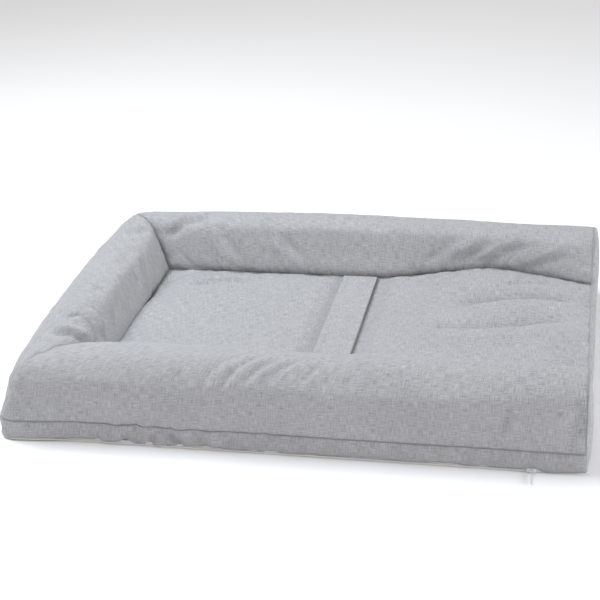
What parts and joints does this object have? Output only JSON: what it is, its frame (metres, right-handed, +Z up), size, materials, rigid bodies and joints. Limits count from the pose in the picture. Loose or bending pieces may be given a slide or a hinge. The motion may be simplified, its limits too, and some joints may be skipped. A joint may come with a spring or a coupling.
{
  "type": "changing pad",
  "caption": "Foam changing pad with raised rims on three sides, a zipped woven cover and a hook-and-loop safety belt.",
  "frame": {"origin": "centre of the underside, where the pad rests on a table or dresser", "axes": "+X from the head end towards the open foot end, +Y from the near long side towards the far long side, +Z up"},
  "size_m": [0.7009, 0.5283, 0.1172],
  "materials": {
    "foam": "open-cell foam",
    "wadding": "soft polyester wadding",
    "liner": "coated waterproof film",
    "cover_fabric": "grey-blue chambray weave with a heathered yarn",
    "underside_fabric": "pale plain weave",
    "zip_tape": "white herringbone tape",
    "zip_coil": "white nylon coil",
    "zip_metal": "pale satin enamel",
    "hook_patch": "moulded hooks",
    "loop_patch": "brushed loops"
  },
  "bodies": {
    "pad": {"base_foam": "foam", "head_rim_foam": "foam", "near_rim_foam": "foam", "far_rim_foam": "foam", "wadding_pad": "wadding", "liner_top": "liner", "liner_base": "liner", "centre_panel": "cover_fabric", "head_rim_panel": "cover_fabric", "near_rim_panel": "cover_fabric", "far_rim_panel": "cover_fabric", "head_band": "cover_fabric", "near_band": "cover_fabric", "far_band": "cover_fabric", "foot_end_panel": "cover_fabric", "foot_seam_piping": "cover_fabric", "belt_far_anchor": "cover_fabric", "belt_near_anchor": "cover_fabric", "base_panel": "underside_fabric", "zip_tape_upper": "zip_tape", "zip_tape_lower": "zip_tape", "zip_coil_upper": "zip_coil", "zip_coil_lower": "zip_coil", "zip_top_stops": "zip_metal", "zip_bottom_stop": "zip_metal"},
    "zip_slider": {"zip_slider": "zip_metal"},
    "zip_pull": {"zip_pull_tab": "zip_metal"},
    "belt_far_root": {"belt_far_root": "cover_fabric"},
    "belt_far_tip": {"belt_far_tip": "cover_fabric", "belt_hook_patch": "hook_patch"},
    "belt_near": {"belt_near_strap": "cover_fabric", "belt_loop_patch": "loop_patch"}
  },
  "joints": [
    {"name": "zip_slide", "type": "slide", "parent": "pad", "child": "zip_slider", "axis": [1, 0, 0], "range_m": [-0.54, 0]},
    {"name": "zip_pull_swing", "type": "hinge", "parent": "zip_slider", "child": "zip_pull", "pos_m": [0.287, -0.25315, 0.0037], "axis": [0, -0.0523, 0.9986], "range_deg": [-80, 80]},
    {"name": "belt_far_lift", "type": "hinge", "parent": "pad", "child": "belt_far_root", "pos_m": [0.024, 0.156, 0.0552], "axis": [-1, 0, 0], "range_deg": [0, 105]},
    {"name": "belt_far_fold", "type": "hinge", "parent": "belt_far_root", "child": "belt_far_tip", "pos_m": [0.024, 0.076, 0.0552], "axis": [-1, 0, 0], "range_deg": [0, 75]},
    {"name": "belt_near_lift", "type": "hinge", "parent": "pad", "child": "belt_near", "pos_m": [0.024, -0.156, 0.0515], "axis": [1, 0, 0], "range_deg": [0, 63]}
  ],
  "couplings": [
    {"joint": "belt_near_lift", "follows": "belt_far_lift", "ratio": 0.6}
  ]
}
